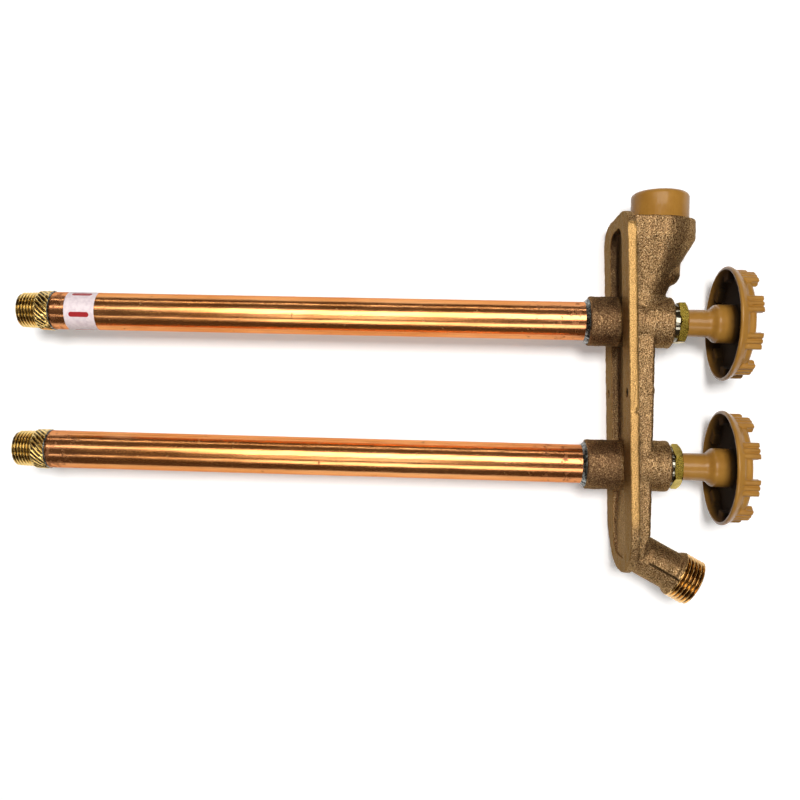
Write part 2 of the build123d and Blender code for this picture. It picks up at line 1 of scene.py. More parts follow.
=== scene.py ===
import math
import bpy
import numpy as np
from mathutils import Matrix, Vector


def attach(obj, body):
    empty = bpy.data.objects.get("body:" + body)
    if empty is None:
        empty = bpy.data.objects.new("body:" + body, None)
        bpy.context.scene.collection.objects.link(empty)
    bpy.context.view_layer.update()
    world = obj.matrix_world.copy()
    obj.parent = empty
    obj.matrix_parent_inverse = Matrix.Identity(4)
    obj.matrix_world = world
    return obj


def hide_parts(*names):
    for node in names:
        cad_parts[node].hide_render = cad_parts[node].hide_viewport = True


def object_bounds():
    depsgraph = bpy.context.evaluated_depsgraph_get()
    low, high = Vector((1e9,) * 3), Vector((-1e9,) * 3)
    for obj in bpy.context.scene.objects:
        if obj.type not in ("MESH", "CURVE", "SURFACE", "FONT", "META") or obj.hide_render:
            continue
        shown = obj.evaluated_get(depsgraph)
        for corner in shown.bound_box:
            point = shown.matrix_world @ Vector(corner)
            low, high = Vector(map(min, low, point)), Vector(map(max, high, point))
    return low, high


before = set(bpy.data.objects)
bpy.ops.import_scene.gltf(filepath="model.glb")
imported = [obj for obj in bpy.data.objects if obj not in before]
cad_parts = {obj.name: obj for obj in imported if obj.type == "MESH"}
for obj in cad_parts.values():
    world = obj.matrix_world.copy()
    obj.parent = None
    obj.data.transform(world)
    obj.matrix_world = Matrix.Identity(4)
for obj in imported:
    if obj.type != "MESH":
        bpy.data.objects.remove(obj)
cad_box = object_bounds()

# Lengths below are in millimetres and go into Blender's metres with MM. "out" is the distance from the wall
# along a valve's axis and "up" is square to it, as in the CAD model.
MM = 0.001
TURN = 2 * math.pi
DRAIN_SLOPE = math.radians(2.0)
OUT = np.array((0.0, -math.cos(DRAIN_SLOPE), -math.sin(DRAIN_SLOPE)))
UP = np.array((0.0, -math.sin(DRAIN_SLOPE), math.cos(DRAIN_SLOPE)))
SIDE = np.array((1.0, 0.0, 0.0))
VALVES = {"hot": 41.275, "cold": -41.275}

# Wall flange, from half its width, and the core that hollows its back
FLANGE_SIDE = 34.4
FLANGE_THICK = 4.5
SCREW_SIDE = 26.0
CORE_SIDE, CORE_TOP = 16.6, 94.0

# Tubes and inlets
TUBE_RADIUS = 11.1125
TUBE_BORE = 9.9725
REAR_BOSS_END = -18.1
SOCKET_OUT = -6.0
COLLAR_OUT = -332.9
INLET_OUT = -352.7
INLET_THREAD_LENGTH = 11.7
INLET_THREAD_RADIUS = 10.67
COLLAR_RADIUS = 11.85
LABEL_OUT = (-323.2, -305.2)

# Spout
SPOUT_OUT, SPOUT_UP = 18.4, -93.78
SPOUT_DROP = math.radians(30.0)
SPOUT_LENGTH = 31.3
SPOUT_BORE = 8.0
HOSE_RADIUS = 13.49
HOSE_THREAD_START = 19.1
HOSE_SHOULDER_RADIUS = 13.0
PARTING_LOW = math.radians(9.0)
PARTING_RIDGE = PARTING_LOW - math.radians(4.5)
SPOUT_AXIS = np.array((0.0, -math.cos(SPOUT_DROP), -math.sin(SPOUT_DROP)))

# Vacuum breaker housing, and two small marks of the casting, each as out, up and side
BREAKER_OUT = 21.8
PIMPLE, PIMPLE_SIZE = (18.4, 1.9, -9.0), 2.0
NICK, NICK_SIZE = (4.6, -10.2, -34.4), 1.1

# Handwheels
GRIPS = 9
GRIP_START = 61.2
FINGER_PITCH = 3.1
HANDLE_TURN = {"hot": math.radians(-6.5), "cold": math.radians(-12.5)}
CUP_MOUTH, CUP_END = 58.5, 65.9
SHOULDER_RADIUS = 11.1
SKIRT_INSIDE, SKIRT_TAPER, TAPER_START = 30.8, 0.38, 60.1

# First seeds of the random waves
TUBE_SEED, INLET_SEED, SOLDER_SEED, LABEL_SEED, HOSE_SEED = 50, 60, 70, 41, 21


def place(out, up=0.0, side=0.0):
    """The point, in millimetres, at a distance out from the wall, up and to one side."""
    return out * OUT + up * UP + side * SIDE


# Mesh tools


def put(name, mesh, body, slot, *nodes):
    """Links a finished mesh as a piece that rides on a body and stands for CAD nodes."""
    piece = bpy.data.objects.new(name, mesh)
    bpy.context.scene.collection.objects.link(piece)
    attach(piece, body)
    if nodes:
        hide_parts(*nodes)
    return piece


def grid_mesh(name, points):
    """A closed ring of quads from points (rows, columns, 3) in millimetres, joined up both ways."""
    rows, columns = points.shape[:2]
    row, column = np.meshgrid(np.arange(rows), np.arange(columns), indexing="ij")
    below, beside = (row + 1) % rows, (column + 1) % columns
    corners = [row * columns + column, below * columns + column]
    corners += [below * columns + beside, row * columns + beside]
    faces = np.stack(corners, axis=-1).reshape(-1, 4)
    flat = points.reshape(-1, 3)
    a, b, c = flat[faces[:, 0]], flat[faces[:, 1]], flat[faces[:, 2]]
    if np.einsum("ij,ij->i", a, np.cross(b, c)).sum() < 0:
        faces = faces[:, ::-1]
    return quad_mesh(name, flat * MM, faces)


def quad_mesh(name, points, faces):
    """A smooth-shaded mesh of quads from points in metres."""
    mesh = bpy.data.meshes.new(name)
    mesh.vertices.add(len(points))
    mesh.vertices.foreach_set("co", points.astype(np.float32).ravel())
    mesh.loops.add(faces.size)
    mesh.loops.foreach_set("vertex_index", faces.astype(np.int32).ravel())
    mesh.polygons.add(len(faces))
    mesh.polygons.foreach_set("loop_start", np.arange(0, faces.size, 4, dtype=np.int32))
    mesh.update(calc_edges=True)
    mesh.polygons.foreach_set("use_smooth", np.ones(len(faces), bool))
    return mesh


def sampled(outline, step, rounds):
    """A closed outline of (along, radius) points cut into steps, with its corners rounded a little."""
    points = np.array(outline, float)
    run = []
    for start, end in zip(points, np.roll(points, -1, axis=0)):
        count = max(1, round(float(np.hypot(*(end - start))) / step))
        run += [start + (end - start) * k / count for k in range(count)]
    run = np.array(run)
    for _ in range(rounds):
        run = (np.roll(run, 1, axis=0) + 2 * run + np.roll(run, -1, axis=0)) / 4
    return run


def lathe(name, origin, axis, outline, segments, relief):
    """A ring turned about an axis; relief(along, angle, radius) gives the radius with its detail."""
    along, radius = outline[:, 0, None], outline[:, 1, None]
    angle = np.linspace(0, TURN, segments, endpoint=False)[None, :]
    radius = relief(along, angle, radius)
    first = np.cross(axis, SIDE)
    second = np.cross(axis, first)
    turned = np.cos(angle)[..., None] * first + np.sin(angle)[..., None] * second
    points = origin + along[..., None] * axis + radius[..., None] * turned
    return grid_mesh(name, points)


def waves(points, size, seed, count=14):
    """A smooth random value from about -1 to 1 at each point, with bumps about size millimetres apart."""
    random = np.random.default_rng(seed)
    directions = random.normal(size=(count, 3))
    directions /= np.linalg.norm(directions, axis=1)[:, None]
    lengths = TURN / (size * random.uniform(0.7, 1.5, count))
    phases = random.uniform(0, TURN, count)
    total = sum(np.sin(points @ (d * k) + p) for d, k, p in zip(directions, lengths, phases))
    return total / math.sqrt(count)


def ring_waves(along, angle, radius, size, seed):
    """The same random value on a lathe's grid."""
    around = np.stack(np.broadcast_arrays(along, radius * np.cos(angle), radius * np.sin(angle)), axis=-1)
    return waves(around.reshape(-1, 3), size, seed).reshape(around.shape[:2])


def smoothstep(value, low, high):
    """0 below low, 1 above high and smooth between; it falls instead when low is above high."""
    t = np.clip((value - low) / (high - low), 0, 1)
    return t * t * (3 - 2 * t)


class Skin:
    """An evenly meshed copy of a CAD node, whose points can be smoothed and moved in millimetres."""

    def __init__(self, node, voxel):
        copy = bpy.data.objects.new("remesh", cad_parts[node].data.copy())
        bpy.context.scene.collection.objects.link(copy)
        weld = copy.modifiers.new("weld", "WELD")
        weld.merge_threshold = 1e-6
        remesh = copy.modifiers.new("remesh", "REMESH")
        remesh.mode = "VOXEL"
        remesh.voxel_size = voxel * MM
        graph = bpy.context.evaluated_depsgraph_get()
        mesh = bpy.data.meshes.new_from_object(copy.evaluated_get(graph))
        bpy.data.objects.remove(copy)
        count = len(mesh.vertices)
        self.points = np.empty(count * 3, np.float32)
        mesh.vertices.foreach_get("co", self.points)
        self.points = self.points.reshape(-1, 3).astype(float) / MM
        self.faces = np.empty(len(mesh.polygons) * 4, np.int32)
        mesh.polygons.foreach_get("vertices", self.faces)
        self.faces = self.faces.reshape(-1, 4)
        bpy.data.meshes.remove(mesh)
        around = np.roll(self.faces, -1, axis=1)
        edges = np.stack((self.faces.ravel(), around.ravel()), axis=1)
        self.edges = np.unique(np.sort(edges, axis=1), axis=0)
        self.links = np.bincount(self.edges.ravel(), minlength=count)

    def spread(self, values):
        """The mean of each point's neighbours."""
        a, b = self.edges.T
        count = len(self.links)
        total = np.bincount(a, values[b], count) + np.bincount(b, values[a], count)
        return total / self.links

    def drift(self):
        """The way from each point to the middle of its neighbours."""
        return np.stack([self.spread(self.points[:, k]) for k in range(3)], axis=1) - self.points

    def normals(self):
        a, b, c, d = (self.points[self.faces[:, k]] for k in range(4))
        faces = np.cross(c - a, d - b)
        total = np.zeros_like(self.points)
        for k in range(3):
            for corner in range(4):
                total[:, k] += np.bincount(self.faces[:, corner], faces[:, k], len(self.points))
        return total / np.maximum(np.linalg.norm(total, axis=1), 1e-9)[:, None]

    def fill_corners(self, rounds, share):
        """Builds fillets in the inside corners; share is how much each point takes part."""
        for _ in range(rounds):
            normals = self.normals()
            rise = np.einsum("ij,ij->i", self.drift(), normals)
            self.points += normals * (np.maximum(rise, 0) * 0.6 * share)[:, None]

    def soften(self, rounds, share):
        for _ in range(rounds):
            self.points += self.drift() * (0.5 * share)[:, None]

    def hollow(self, normals, rounds):
        """How far the neighbours stand out round each point, in millimetres, evened over some mesh steps."""
        rise = np.einsum("ij,ij->i", self.drift(), normals)
        for _ in range(rounds):
            rise = self.spread(rise)
        return rise

    def grain(self, seed, rounds):
        """A random value at each point with a spread of 1, a few mesh steps across."""
        value = np.random.default_rng(seed).normal(size=len(self.points))
        for _ in range(rounds):
            value = (value + self.spread(value)) / 2
        return value / value.std()

    def mesh(self, name, shade):
        """The finished mesh, held inside the CAD model's box; shade from 0 to 1 is how much painted shade
        darkens it.
        """
        low, high = (np.array(corner) / MM for corner in cad_box)
        mesh = quad_mesh(name, np.clip(self.points, low, high) * MM, self.faces)
        layer = mesh.attributes.new("shade", "FLOAT", "POINT")
        layer.data.foreach_set("value", np.clip(shade, 0, 1).astype(np.float32))
        return mesh


# Material tools


class Shader:
    """One material's node tree. Its methods add nodes and return their output sockets; sizes are in mm."""

    def __init__(self, name, **inputs):
        self.material = bpy.data.materials.new(name)
        self.material.use_nodes = True
        self.nodes = self.material.node_tree.nodes
        self.links = self.material.node_tree.links
        self.surface = self.nodes["Principled BSDF"]
        for socket, value in inputs.items():
            self.set(socket.replace("_", " "), value)
        coordinates = self.nodes.new("ShaderNodeTexCoord").outputs["Object"]
        self.where = self.vector("SCALE", coordinates, scale=1 / MM)

    def set(self, socket, value):
        """Links a socket, or sets a plain value, on the surface shader."""
        self.feed(self.surface.inputs[socket], value)

    def feed(self, target, value):
        if isinstance(value, bpy.types.NodeSocket):
            self.links.new(value, target)
        elif isinstance(value, tuple) and len(value) == 3 and target.type == "RGBA":
            target.default_value = (*value, 1.0)
        else:
            target.default_value = value

    def vector(self, operation, first, second=None, scale=None):
        node = self.nodes.new("ShaderNodeVectorMath")
        node.operation = operation
        self.feed(node.inputs[0], first)
        if second is not None:
            self.feed(node.inputs[1], second)
        if scale is not None:
            node.inputs["Scale"].default_value = scale
        return node.outputs["Value" if operation in ("DOT_PRODUCT", "LENGTH") else "Vector"]

    def math(self, operation, first, second=0.5, clamp=False):
        node = self.nodes.new("ShaderNodeMath")
        node.operation = operation
        node.use_clamp = clamp
        self.feed(node.inputs[0], first)
        self.feed(node.inputs[1], second)
        return node.outputs[0]

    def along(self, direction, offset=0.0):
        """The distance along a direction, in millimetres."""
        value = self.vector("DOT_PRODUCT", self.where, tuple(float(x) for x in direction))
        return self.math("SUBTRACT", value, offset) if offset else value

    def shade(self):
        """The skin's painted shade, from 0 to 1."""
        node = self.nodes.new("ShaderNodeAttribute")
        node.attribute_name = "shade"
        return node.outputs["Fac"]

    def noise(self, size, detail=2.0, roughness=0.5, stretch=None, shift=0.0):
        """Noise with blots about size mm across; stretch divides the size along X, Y and Z."""
        node = self.nodes.new("ShaderNodeTexNoise")
        node.inputs["Scale"].default_value = 1.0 / size
        node.inputs["Detail"].default_value = detail
        node.inputs["Roughness"].default_value = roughness
        where = self.where
        if stretch:
            where = self.vector("MULTIPLY", where, stretch)
        if shift:
            where = self.vector("ADD", where, (shift, shift, shift))
        self.links.new(where, node.inputs["Vector"])
        return node.outputs["Fac"]

    def valve_radius(self):
        """The distance from the nearer valve's axis, in millimetres."""
        up = self.math("SUBTRACT", self.math("ABSOLUTE", self.along(UP)), VALVES["hot"])
        side = self.along(SIDE)
        squares = self.math("ADD", self.math("MULTIPLY", up, up), self.math("MULTIPLY", side, side))
        return self.math("SQRT", squares)

    def fit(self, value, low, high, to_low=0.0, to_high=1.0):
        """Carries a value's range from low to high over to another range, smoothly and clamped."""
        node = self.nodes.new("ShaderNodeMapRange")
        node.interpolation_type = "SMOOTHSTEP"
        for socket, number in zip(node.inputs, (value, low, high, to_low, to_high)):
            self.feed(socket, number)
        return node.outputs["Result"]

    def mix(self, share, first, second):
        node = self.nodes.new("ShaderNodeMix")
        node.data_type = "RGBA"
        self.feed(node.inputs["Factor"], share)
        self.feed(node.inputs[6], first)
        self.feed(node.inputs[7], second)
        return node.outputs[2]

    def bump(self, *heights):
        """Bumps from (height socket, depth in mm) pairs, one over the other."""
        normal = None
        for height, depth in heights:
            node = self.nodes.new("ShaderNodeBump")
            node.inputs["Strength"].default_value = 1.0
            node.inputs["Distance"].default_value = depth * MM
            self.links.new(height, node.inputs["Height"])
            if normal:
                self.links.new(normal, node.inputs["Normal"])
            normal = node.outputs["Normal"]
        self.set("Normal", normal)


def paint(piece, shader):
    """Gives a piece one material."""
    piece.data.materials.clear()
    piece.data.materials.append(shader.material)


# Materials


def core_painted_shade(s, depth, height, beside):
    """How much painted shade darkens the flange's cored back, more towards its top."""
    core_middle = 2.6
    across = s.fit(beside, CORE_SIDE + 0.3, CORE_SIDE - 0.3)
    upright = s.fit(s.math("ABSOLUTE", height), CORE_TOP + 0.2, CORE_TOP - 0.4)
    deep = s.fit(s.math("ABSOLUTE", s.math("ADD", depth, core_middle)), 2.5, 2.1)
    cored = s.math("MULTIPLY", s.math("MULTIPLY", across, upright), deep)
    return s.math("MULTIPLY", cored, s.fit(height, -70.0, 60.0, 0.1, 0.85))


def cast_bronze():
    """Sand-cast bronze: brown with painted glints on its grain, ground bright on the flange's edge, with
    painted shade in the cored back, on the flange's back face and in the skin's hollows.
    """
    s = Shader("cast_bronze", Metallic=0.92)
    s.set("Specular Tint", (0.44, 0.42, 0.36))
    grain = s.noise(0.66, 3.0, 0.75)
    fine = s.noise(0.3, 1.0)
    cloud = s.noise(11.0, 3.0, 0.55)
    color = s.mix(s.fit(grain, 0.40, 0.60), (0.075, 0.037, 0.015), (0.62, 0.39, 0.180))
    color = s.mix(s.fit(cloud, 0.42, 0.68, 0.0, 0.3), color, (0.30, 0.165, 0.080))
    # Painted glints: the grain's highest spots turn near white.
    color = s.mix(s.fit(grain, 0.615, 0.68), color, (1.0, 0.82, 0.52))
    depth = s.along((0, 1, 0))
    height = s.along((0, 0, 1))
    beside = s.math("ABSOLUTE", s.along((1, 0, 0)))
    behind = s.fit(depth, 0.2, 2.0)
    color = s.mix(s.math("MULTIPLY", behind, 0.6), color, (0.105, 0.052, 0.028))
    # Painted glints: golden specks on the grain behind the flange.
    rear_painted_glint = s.math("MULTIPLY", s.fit(grain, 0.59, 0.67), behind)
    color = s.mix(rear_painted_glint, color, (0.80, 0.48, 0.22))
    # Painted shade: the cored back is darker, more towards its top.
    color = s.mix(core_painted_shade(s, depth, height, beside), color, (0.05, 0.026, 0.013))
    # Painted shade: the flange's back face is darker and warmer.
    painted_back_shade = s.fit(s.math("ABSOLUTE", depth), 0.5, 0.2, 0.0, 0.7)
    color = s.mix(painted_back_shade, color, (0.215, 0.115, 0.036))
    edge = s.fit(beside, FLANGE_SIDE - 1.0, FLANGE_SIDE - 0.4)
    ground = s.math("MULTIPLY", edge, s.fit(height, -78.0, -66.0))
    band = s.mix(s.fit(grain, 0.4, 0.6), (0.40, 0.21, 0.065), (0.80, 0.51, 0.20))
    color = s.mix(ground, color, band)
    # The skin's painted shade darkens its corners, parting groove and screw holes.
    s.set("Base Color", s.mix(s.shade(), color, (0.012, 0.008, 0.005)))
    s.set("Roughness", s.fit(fine, 0.3, 0.7, 0.31, 0.47))
    s.bump((grain, 0.21), (fine, 0.05))
    return s


def machined_bronze():
    """The spout's cut thread: golden and bright on its crests, with turning marks and dull roots darkened
    with painted shade.
    """
    s = Shader("machined_bronze", Metallic=1.0)
    marks = s.noise(0.25, 2.0, 0.6, stretch=(0.08, 1.0, 1.0))
    cloud = s.noise(5.0, 2.0)
    start = tuple(float(x) for x in place(SPOUT_OUT, SPOUT_UP))
    axis = tuple(float(x) for x in SPOUT_AXIS)
    out = s.vector("SUBTRACT", s.where, start)
    radius = s.vector("LENGTH", s.vector("CROSS_PRODUCT", out, axis))
    # Painted shade in the thread's roots.
    painted_root_shade = s.fit(radius, HOSE_RADIUS - 0.69, HOSE_RADIUS - 1.49)
    color = s.mix(s.fit(cloud, 0.35, 0.7), (0.86, 0.55, 0.21), (0.66, 0.38, 0.13))
    s.set("Base Color", s.mix(painted_root_shade, color, (0.13, 0.075, 0.03)))
    s.set("Roughness", s.fit(marks, 0.3, 0.7, 0.10, 0.20))
    s.bump((marks, 0.02))
    return s


def copper():
    """Drawn copper: long draw marks, with brown stains that gather towards the soldered ends."""
    s = Shader("copper", Metallic=1.0)
    s.set("Specular Tint", (0.7, 0.5, 0.4))
    draw = s.noise(0.5, 2.0, 0.6, stretch=(1.0, 0.02, 1.0))
    cloud = s.noise(26.0, 3.0, 0.6, stretch=(1.0, 0.35, 1.0))
    stain = s.noise(5.0, 4.0, 0.65, shift=31.0)
    color = s.mix(s.fit(cloud, 0.35, 0.7), (0.90, 0.42, 0.165), (0.76, 0.31, 0.10))
    color = s.mix(s.fit(draw, 0.35, 0.75, 0.0, 0.35), color, (0.52, 0.20, 0.07))
    along = s.along(OUT)
    heat = s.math("MAXIMUM", s.fit(along, -75.0, -20.0), s.fit(along, -300.0, -330.0))
    level = s.math("SUBTRACT", 0.66, s.math("MULTIPLY", heat, 0.10))
    stained = s.math("MULTIPLY", s.math("SUBTRACT", stain, level), 14.0, clamp=True)
    color = s.mix(s.math("MULTIPLY", stained, 0.7), color, (0.20, 0.075, 0.03))
    color = s.mix(s.math("MULTIPLY", heat, 0.3), color, (0.60, 0.25, 0.15))
    s.set("Base Color", color)
    rough = s.fit(draw, 0.3, 0.7, 0.15, 0.25)
    s.set("Roughness", s.math("ADD", rough, s.math("MULTIPLY", stained, 0.25)))
    s.bump((draw, 0.018), (stain, 0.02))
    return s


def brass(name, light, dark, rough, cut=False, neck=None):
    """Turned brass with fine marks. Cut paints shade into a fitting's thread roots and the hollows of its
    knurl.

    Neck gives where the cold and the hot nut's hexagon start; the shank behind it is greyer and smoother.
    """
    s = Shader(name, Metallic=1.0)
    marks = s.noise(0.3, 2.0, 0.6)
    cloud = s.noise(4.0, 3.0, 0.6)
    color = s.mix(s.fit(cloud, 0.35, 0.7), light, dark)
    roughness = s.fit(marks, 0.3, 0.7, rough - 0.02, rough + 0.04)
    if cut:
        radius = s.valve_radius()
        shoulder = INLET_OUT + INLET_THREAD_LENGTH
        threaded = s.fit(s.along(OUT), shoulder + 0.2, shoulder)
        # Painted shade in the thread's roots and the knurl's hollows.
        painted_root_shade = s.math("MULTIPLY", threaded, s.fit(radius, 10.1, 9.4, 0.0, 0.8))
        knurl = s.math("MULTIPLY", s.math("SUBTRACT", 1.0, threaded), s.fit(radius, 11.5, 11.05))
        color = s.mix(s.math("ADD", painted_root_shade, knurl, clamp=True), color, (0.075, 0.05, 0.02))
    if neck:
        cold, hot = neck
        above = s.math("GREATER_THAN", s.along(UP), 0.0)
        start = s.math("ADD", s.math("MULTIPLY", above, hot - cold), cold)
        shank = s.fit(s.math("SUBTRACT", s.along(OUT), start), 0.1, -0.1)
        color = s.mix(shank, color, (0.24, 0.225, 0.18))
        roughness = s.math("SUBTRACT", roughness, s.math("MULTIPLY", shank, rough - 0.1))
    s.set("Base Color", color)
    s.set("Roughness", roughness)
    s.bump((marks, 0.002 if neck else 0.006))
    return s


def solder():
    """Soft solder: dark grey, wavy and shiny, with black flux left in its hollows."""
    s = Shader("solder", Metallic=1.0)
    flow = s.noise(2.2, 2.0)
    burnt = s.noise(1.4, 3.0, 0.6, shift=7.0)
    color = s.mix(s.fit(flow, 0.35, 0.65), (0.32, 0.34, 0.32), (0.12, 0.13, 0.125))
    s.set("Base Color", s.mix(s.fit(burnt, 0.45, 0.60), color, (0.022, 0.022, 0.022)))
    s.set("Roughness", s.fit(burnt, 0.3, 0.7, 0.2, 0.5))
    s.bump((flow, 0.25))
    return s


def tan_coat(name, cup=False):
    """The handwheels' and cap's tan finish, a glossy skin over a faint orange peel; a cup's inside is
    darkened with painted shade.
    """
    s = Shader(name, Coat_Roughness=0.03)
    cloud = s.noise(9.0, 3.0, 0.55)
    peel = s.noise(1.1, 2.0)
    dust = s.noise(0.5, 2.0, shift=3.0)
    color = s.mix(s.fit(cloud, 0.3, 0.7), (0.37, 0.172, 0.027), (0.43, 0.210, 0.036))
    color = s.mix(s.fit(dust, 0.68, 0.76, 0.0, 0.5), color, (0.2, 0.1, 0.03))
    gloss = 0.3 if cup else 0.2
    roughness = s.fit(peel, 0.3, 0.7, 0.34, 0.44)
    s.set("Specular IOR Level", gloss)
    if cup:
        # Painted shade darkens the cup's inside and takes its gloss away.
        shade = s.shade()
        color = s.mix(shade, color, (0.012, 0.006, 0.0015))
        gloss = s.fit(shade, 0.62, 0.0, 0.0, gloss)
        roughness = s.math("MAXIMUM", roughness, s.fit(shade, 0.0, 0.5))
    s.set("Base Color", color)
    s.set("Coat Weight", gloss)
    s.set("Roughness", roughness)
    s.bump((peel, 0.012))
    return s


def label_film():
    """White film round the hot tube, with a plain red bar where each of its words was."""
    s = Shader("label_film", Coat_Weight=0.2, Coat_Roughness=0.3)
    wrinkle = s.noise(2.5, 3.0, 0.6)
    fibre = s.noise(0.4, 2.0)
    rows, first_row, bar_length, bar_height = 5, math.radians(16.0), 12.0, 3.0
    along = s.math("SUBTRACT", s.along(OUT), sum(LABEL_OUT) / 2)
    up = s.along(UP, VALVES["hot"])
    near = s.math("MULTIPLY", s.along(SIDE), -1.0)
    turn = s.math("ADD", s.math("ARCTAN2", up, near), first_row + TURN)
    pitch = TURN / rows
    turn = s.math("SUBTRACT", s.math("MODULO", s.math("ADD", turn, pitch / 2), pitch), pitch / 2)
    around = s.math("MULTIPLY", turn, TUBE_RADIUS)
    half = (bar_length - bar_height) / 2
    past = s.math("MAXIMUM", s.math("SUBTRACT", s.math("ABSOLUTE", along), half), 0.0)
    reach = s.math("SQRT", s.math("ADD", s.math("MULTIPLY", past, past), s.math("MULTIPLY", around, around)))
    bar = s.fit(reach, bar_height / 2 + 0.1, bar_height / 2 - 0.1)
    white = s.mix(s.fit(wrinkle, 0.35, 0.7), (1.0, 0.87, 0.89), (0.86, 0.72, 0.76))
    s.set("Base Color", s.mix(bar, white, (0.42, 0.006, 0.012)))
    s.set("Roughness", s.fit(fibre, 0.3, 0.7, 0.35, 0.5))
    s.bump((wrinkle, 0.05), (fibre, 0.01))
    return s


def soft_part(name, light, dark, rough):
    """Rubber, fibre and packing materials."""
    s = Shader(name)
    speck = s.noise(0.6, 3.0, 0.6)
    s.set("Base Color", s.mix(s.fit(speck, 0.3, 0.7), light, dark))
    s.set("Roughness", s.fit(speck, 0.3, 0.7, rough - 0.08, rough + 0.08))
    s.bump((speck, 0.03))
    return s


materials = {
    "cast_bronze": cast_bronze(),
    "machined_bronze": machined_bronze(),
    "copper": copper(),
    "inlet_brass": brass("inlet_brass", (0.88, 0.65, 0.25), (0.70, 0.48, 0.16), 0.18, cut=True),
    "nut_brass": brass("nut_brass", (0.60, 0.45, 0.085), (0.42, 0.31, 0.045), 0.24, neck=(31.1, 32.2)),
    "stem_brass": brass("stem_brass", (0.72, 0.52, 0.22), (0.55, 0.38, 0.14), 0.3),
    "solder": solder(),
    "handle_coat": tan_coat("handle_coat", cup=True),
    "cap_coat": tan_coat("cap_coat"),
    "label_film": label_film(),
    "packing": soft_part("packing", (0.08, 0.08, 0.085), (0.02, 0.02, 0.022), 0.6),
    "washer": brass("washer", (0.70, 0.52, 0.24), (0.5, 0.36, 0.15), 0.35),
    "seat_rubber": soft_part("seat_rubber", (0.03, 0.03, 0.03), (0.012, 0.012, 0.012), 0.65),
    "screw_steel": brass("screw_steel", (0.62, 0.60, 0.57), (0.42, 0.40, 0.38), 0.32),
    "float_plastic": soft_part("float_plastic", (0.72, 0.70, 0.64), (0.62, 0.60, 0.54), 0.4),
}

NODE_MATERIALS = {
    "packing_nut": "nut_brass",
    "operating_rod": "stem_brass",
    "stem": "stem_brass",
    "plunger": "stem_brass",
    "rod_pin": "screw_steel",
    "plunger_screw": "screw_steel",
    "handle_screw": "screw_steel",
    "seat_washer": "seat_rubber",
    "packing_washer": "washer",
    "packing": "packing",
    "breaker_bonnet": "stem_brass",
    "bonnet_ring": "seat_rubber",
    "breaker_float": "float_plastic",
    "float_seal": "seat_rubber",
    "breaker_cap": "cap_coat",
}


# Pieces


def spout_place(points):
    """How far points lie along the spout's axis, how far from it and how low on its sides, in radians."""
    start = place(SPOUT_OUT, SPOUT_UP)
    along = (points - start) @ SPOUT_AXIS
    away = points - start - along[:, None] * SPOUT_AXIS
    low = np.arctan2(away @ np.cross(SIDE, SPOUT_AXIS), np.abs(away @ SIDE))
    return along, np.linalg.norm(away, axis=1), low


def parting_share(points, low_side, width):
    """From 0 to 1: a narrow line along both sides of the spout, low_side radians below its level."""
    along, radius, low = spout_place(points)
    end = HOSE_THREAD_START
    inside = smoothstep(along, -1.0, 3.0) * smoothstep(along, end + 0.6, end - 0.4)
    inside = inside * (radius < HOSE_SHOULDER_RADIUS + 0.2)
    return np.exp(-(((low - low_side) * radius / width) ** 2)) * inside


def marks(points):
    """How much the skin stands out at the spine's pimple, the flange's nick and the spout's parting lines."""
    pimple = np.linalg.norm(points - place(*PIMPLE), axis=1) / PIMPLE_SIZE
    nick = np.linalg.norm(points - place(*NICK), axis=1) / NICK_SIZE
    ridge = 0.4 * parting_share(points, PARTING_RIDGE, 0.45)
    groove = 0.9 * parting_share(points, PARTING_LOW, 0.55)
    return 0.7 * np.exp(-(pimple**2)) - 0.9 * np.exp(-(nick**2)) + (ridge - groove)


def machined_places(points):
    """Which points lie in or round the casting's bores, and which round its screw holes."""
    valve_reach, breaker_reach, spout_reach, hole_reach = 12.0, 15.5, 9.2, 4.0
    rear_end, front_start, breaker_start, spout_start = 8, 14, 70, -4
    out, up, side = points @ OUT, points @ UP, points @ SIDE
    along, spout_radius, _ = spout_place(points)
    valve = np.min([np.hypot(up - height, side) for height in VALVES.values()], axis=0)
    bores = (valve < valve_reach) & ((out < rear_end) | (out > front_start))
    bores |= (np.hypot(out - BREAKER_OUT, side) < breaker_reach) & (up > breaker_start)
    bores |= (spout_radius < spout_reach) & (along > spout_start)
    x, y, z = points.T
    holes = (np.hypot(np.abs(x) - SCREW_SIDE, z) < hole_reach) & (y > -FLANGE_THICK - 0.7)
    return bores, holes


def make_body():
    """The bronze casting, with soft cast corners, sand grain and slightly uneven faces."""
    skin = Skin("body_casting", 0.46)
    bores, holes = machined_places(skin.points)
    free = 1.0 - (bores | holes).astype(float)
    raised_floor(skin)
    worn_flange(skin)
    skin.fill_corners(26, free)
    skin.soften(3, 0.4 + 0.6 * free)
    normals = skin.normals()
    # Painted shade: darker in the casting's concave corners.
    painted_crevice_shade = 0.65 * smoothstep(skin.hollow(normals, 3), 0.007, 0.03) * free
    rough = free * smoothstep(spout_place(skin.points)[1], 8.5, 9.5)
    lift = 0.045 * skin.grain(3, 1) + 0.08 * waves(skin.points, 7.0, 5) + 0.04 * waves(skin.points, 2.6, 6)
    skin.points += normals * (lift * rough + marks(skin.points))[:, None]
    # Painted shade along the spout's parting groove and inside the screw holes.
    line = 0.9 * parting_share(skin.points, PARTING_LOW, 0.6)
    shade = np.maximum(np.maximum(line, painted_crevice_shade), holes & (skin.points[:, 1] < -0.4))
    sink_under_thread(skin)
    mesh = skin.mesh("body_casting_skin", shade)
    piece = put("body_casting_skin", mesh, "hydrant_body", "cast_bronze", "body_casting")
    paint(piece, materials["cast_bronze"])


